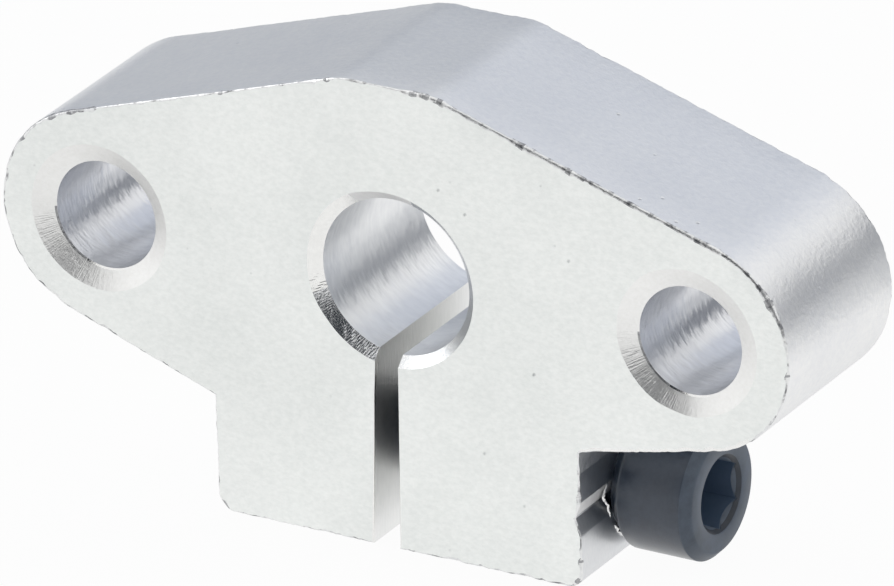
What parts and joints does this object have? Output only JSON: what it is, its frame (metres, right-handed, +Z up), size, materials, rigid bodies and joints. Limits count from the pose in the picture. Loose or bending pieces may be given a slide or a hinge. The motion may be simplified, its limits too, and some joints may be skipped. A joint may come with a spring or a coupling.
{
  "type": "horizontal shaft support",
  "caption": "Kite-shaped flange that holds a round shaft square to a wall: a split lug under the bore is squeezed by a socket cap screw, and a bolt hole sits in each rounded end.",
  "frame": {"origin": "on the shaft bore's axis, in the plane of the rear mounting face", "axes": "+Y along the bore and out of the rear mounting face, so the body runs to -Y; +Z up, away from the split lug; +X to the side the clamping screw's head is on"},
  "size_m": [0.043, 0.01, 0.024],
  "materials": {
    "body": "sand-blasted and satin anodised extrusion with bright machined bores",
    "screw": "black oxide, satin"
  },
  "bodies": {
    "root": {"body": "body", "clamp_screw": "screw"}
  },
  "joints": []
}
